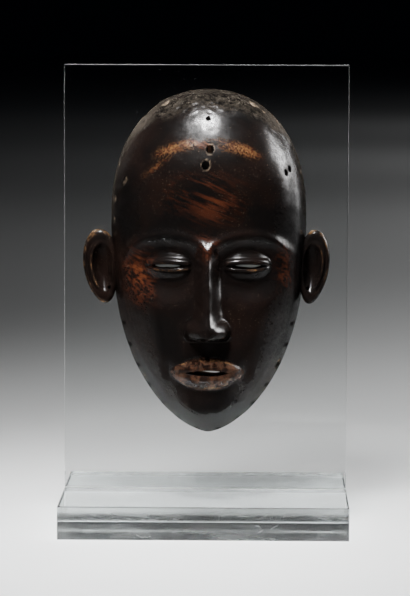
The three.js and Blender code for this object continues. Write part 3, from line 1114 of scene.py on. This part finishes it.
acrylicLook = {
    "sheet": {"colour": (0.985, 0.995, 0.993, 1), "polish": 0.01, "marked": 0.25, "dust": 0.74,
              "scratch": 0.78, "turn": 0.2, "shade": (0.93, 0.94, 0.94, 1), "scuffTop": 0.0,
              "scuff": 0.0, "sanded": 0.35},
    "block": {"colour": (0.93, 0.95, 0.95, 1), "polish": 0.02, "marked": 0.4, "dust": 0.71,
              "scratch": 0.68, "turn": 1.5, "shade": (0.93, 0.95, 0.95, 1), "scuffTop": 0.0125,
              "scuff": 0.3, "sanded": 0.1},
}


acrylicPattern = {
    "dustScale": 900.0,
    "scratches": ((700.0, 0), (500.0, 0.5)),  # scale, and turn from the first ones
    "stretch": 0.03,
    "cloud": (160.0, 0.12, 1.5),
    "scuffFade": 0.002,
    "bumpStrength": 0.15,
    "bumpDepth": 0.0001,
    "index": 1.49,
}


def acrylicMarks(tree, place, look):
    dust = specks(tree, place, acrylicPattern["dustScale"], look["dust"], 0.03)
    scratches = []
    for scale, turn in acrylicPattern["scratches"]:
        lines = streaks(tree, place, scale, acrylicPattern["stretch"], look["turn"] + turn)
        scratches.append(mapRange(tree, lines, look["scratch"], look["scratch"] + 0.05))
    return mathNode(tree, "MAXIMUM", mathNode(tree, "MAXIMUM", *scratches), dust, True)


def acrylicRoughness(tree, place, look, marks):
    height = addNode(tree, "SeparateXYZ", None, Vector=place).outputs["Z"]
    fade = acrylicPattern["scuffFade"]
    low = mapRange(tree, height, look["scuffTop"] - fade, look["scuffTop"], 1.0, 0.0)
    cloud = mapRange(tree, streaks(tree, place, *acrylicPattern["cloud"]), 0.3, 0.7, 0.35, 1.0)
    scuffed = multiply(tree, multiply(tree, low, cloud), attributeNode(tree, "front"))
    polish = mapRange(tree, marks, 0.0, 1.0, look["polish"], look["marked"])
    sanded = multiply(tree, attributeNode(tree, "sawn"), look["sanded"])
    rough = mathNode(tree, "MAXIMUM", polish, sanded)
    return mathNode(tree, "MAXIMUM", rough, multiply(tree, scuffed, look["scuff"]))


def clearAcrylic(name, look):
    material, nodes, links = newMaterial(name)
    tree = material.node_tree
    shader = nodes["Principled BSDF"]
    place = addNode(tree, "TexCoord").outputs["Object"]
    marks = acrylicMarks(tree, place, look)
    links.new(acrylicRoughness(tree, place, look, marks), shader.inputs["Roughness"])
    strength, depth = acrylicPattern["bumpStrength"], acrylicPattern["bumpDepth"]
    bump = addNode(tree, "Bump", None, Strength=strength, Distance=depth, Height=marks)
    links.new(bump.outputs[0], shader.inputs["Normal"])
    index = acrylicPattern["index"]
    setSockets(shader, {"Base Color": look["colour"], "IOR": index, "Transmission Weight": 1})
    clear = addNode(tree, "BsdfTransparent", None, Color=look["shade"])  # lets the lamps through
    shadow = addNode(tree, "LightPath").outputs["Is Shadow Ray"]
    mixed = addNode(tree, "MixShader", None, i0=shadow, i1=shader.outputs[0], i2=clear.outputs[0])
    links.new(mixed.outputs[0], nodes["Material Output"].inputs["Surface"])
    return material


# The clear stand

standForm = {
    "edge": 0.5 * mm,  # polished arris
    "slotClearance": 0.3 * mm,
    "slotFloor": 3 * mm,
    "overshoot": 10 * mm,  # of the slot's cutter past the block
    "sawnEdges": {"clear_back_panel": 1, "clear_base_block": 0},
}


def softenEdges(piece):
    applyModifier(piece, "BEVEL", width=standForm["edge"], segments=2, limit_method="ANGLE")


def markFaces(piece, milledLow=0, milledHigh=0):
    facing = np.array([face.normal[:] for face in piece.data.polygons])
    centre = np.array([face.center[:] for face in piece.data.polygons])
    milled = (centre[:, 1] > milledLow) & (centre[:, 1] < milledHigh)
    sawn = (np.abs(facing[:, 1]) < 0.5) * standForm["sawnEdges"][piece.name]
    addAttribute(piece, "sawn", (sawn + milled).astype(float), "FACE")
    addAttribute(piece, "front", (facing[:, 1] < -0.9).astype(float), "FACE")


def makePanel():
    panel = addBlock("clear_back_panel", panelLow, panelHigh)
    softenEdges(panel)
    markFaces(panel)
    finishPiece(panel, clearAcrylic("clear_sheet", acrylicLook["sheet"]), "back_panel")
    print("sheet made")


def makeBase():
    base = addBlock("clear_base_block", baseLow, baseHigh)
    gap = standForm["slotClearance"]
    past = standForm["overshoot"]
    slotLow = Vector((baseLow.x - past, panelLow.y - gap, baseLow.z + standForm["slotFloor"]))
    slotHigh = Vector((baseHigh.x + past, panelHigh.y + gap, baseHigh.z + past))
    combine(base, addBlock("slot", slotLow, slotHigh), "DIFFERENCE")
    softenEdges(base)
    markFaces(base, slotLow.y - 1 * mm, slotHigh.y + 1 * mm)
    finishPiece(base, clearAcrylic("clear_block", acrylicLook["block"]), "base")
    print("block made")


# Floor, light and camera

studio = {
    "floorSize": 40,
    "floorGap": 0.0002,  # under the block
    "floorColour": (0.78, 0.79, 0.79, 1),
    "floorRoughness": 0.6,
    "world": (0.0006, 0.0008, 0.0014, 1),
    "lights": {  # place, target, width, height, power, spread in degrees
        "key_softbox": ((-0.05, -0.38, 1.25), (0, -0.1, 0), 0.2, 0.2, 2.2, 46),
        "front_softbox": ((-0.3, -1.0, 1.15), (0, 0.05, 0), 0.3, 0.3, 4, 48),
        "crown_light": ((-0.035, -0.46, 1.2), (0, -0.04, 0.29), 0.1, 0.07, 3.2, 60),
        "top_softbox": ((0.05, 0.0, 1.3), (0, -0.05, 0.25), 0.8, 0.6, 0.8, 90),
        "right_strip": ((1.15, 0.2, 0.68), (0.05, -0.03, 0.24), 0.5, 0.85, 3.6, 45),
        "back_strip": ((1.0, 0.62, 0.42), (0.06, -0.02, 0.24), 0.35, 0.5, 0.5, 45),
        "left_fill": ((-1.3, -1.2, 0.7), (0, 0, 0.18), 0.8, 0.8, 0.5, 60),
    },
    "floorLights": {  # place, size and power, pointing down on the floor behind
        "low_floor_softbox": ((0.5, 0.7, 0.5), 0.3, 1),
        "low_back_softbox": ((0.8, 1.3, 0.7), 0.3, 1.8),
        "near_floor_softbox": ((0.8, 2.0, 1.6), 1.0, 3.0),
        "middle_floor_softbox": ((1.2, 3.0, 1.0), 1.0, 2.7),
        "far_floor_softbox": ((0.9, 5.0, 1.0), 1.0, 1.4),
        "farther_floor_softbox": ((1.2, 7.0, 1.2), 1.0, 1.2),
        "horizon_softbox": ((3.0, 9.0, 2.5), 1.0, 1.9),
    },
    "floorLightLean": 0.01,
    "shadingOnly": ("key_softbox", "front_softbox", "left_fill"),
    "shineOnly": ("crown_light", "right_strip", "back_strip"),
    "eye": (0.0340, -2.1047, 0.3629),  # camera
    "yaw": -0.938,
    "pitch": 5.532,
    "roll": 0.207,
    "focal": 3000,  # pixels, as is the picture's long side
    "longSide": 596,
    "sensor": 36,
    "farthest": 50,
}


def addSoftbox(name, place, target, width, height, power, spread):
    lamp = bpy.data.lights.new(name, "AREA")
    lamp.shape = "RECTANGLE"
    lamp.size = width
    lamp.size_y = height
    lamp.energy = power
    lamp.spread = math.radians(spread)
    box = bpy.data.objects.new(name, lamp)
    box.location = place
    box.rotation_euler = (Vector(target) - Vector(place)).to_track_quat("-Z", "Y").to_euler()
    box.visible_glossy = name not in studio["shadingOnly"]
    box.visible_diffuse = name not in studio["shineOnly"]
    bpy.context.scene.collection.objects.link(box)


def makeStudio():
    deselectAll()
    below = (0, 0, cadLow.z - studio["floorGap"])
    bpy.ops.mesh.primitive_plane_add(size=studio["floorSize"], location=below)
    floor = settle(bpy.context.object, "floor")
    material, nodes, _ = newMaterial("pale_floor")
    look = {"Base Color": studio["floorColour"], "Roughness": studio["floorRoughness"]}
    setSockets(nodes["Principled BSDF"], look)
    floor.data.materials.append(material)
    world = bpy.data.worlds.new("studio")
    world.use_nodes = True
    setSockets(world.node_tree.nodes["Background"], {"Color": studio["world"]})
    bpy.context.scene.world = world
    for name, settings in studio["lights"].items():
        addSoftbox(name, *settings)
    for name, (place, size, power) in studio["floorLights"].items():
        target = (place[0], place[1] + studio["floorLightLean"], 0)
        addSoftbox(name, place, target, size, size, power, 180)
    print("floor and lights placed")


def makeCamera():
    yaw, pitch, roll = (math.radians(studio[key]) for key in ("yaw", "pitch", "roll"))
    forward = Vector((math.sin(yaw) * math.cos(pitch), math.cos(yaw) * math.cos(pitch), -math.sin(pitch)))
    across = Vector((math.cos(yaw), -math.sin(yaw), 0))
    upright = across.cross(forward)
    right = across * math.cos(roll) + upright * math.sin(roll)
    up = upright * math.cos(roll) - across * math.sin(roll)
    camera = bpy.data.objects.new("camera", bpy.data.cameras.new("camera"))
    camera.data.sensor_width = studio["sensor"]
    camera.data.lens = studio["focal"] * studio["sensor"] / studio["longSide"]
    camera.data.clip_end = studio["farthest"]
    turned = Matrix((right, up, -forward)).transposed().to_4x4()
    camera.matrix_world = Matrix.Translation(studio["eye"]) @ turned
    bpy.context.scene.collection.objects.link(camera)
    bpy.context.scene.camera = camera
    print("camera placed")


makeCamera()
makeStudio()
makeMask()
makePanel()
makeBase()
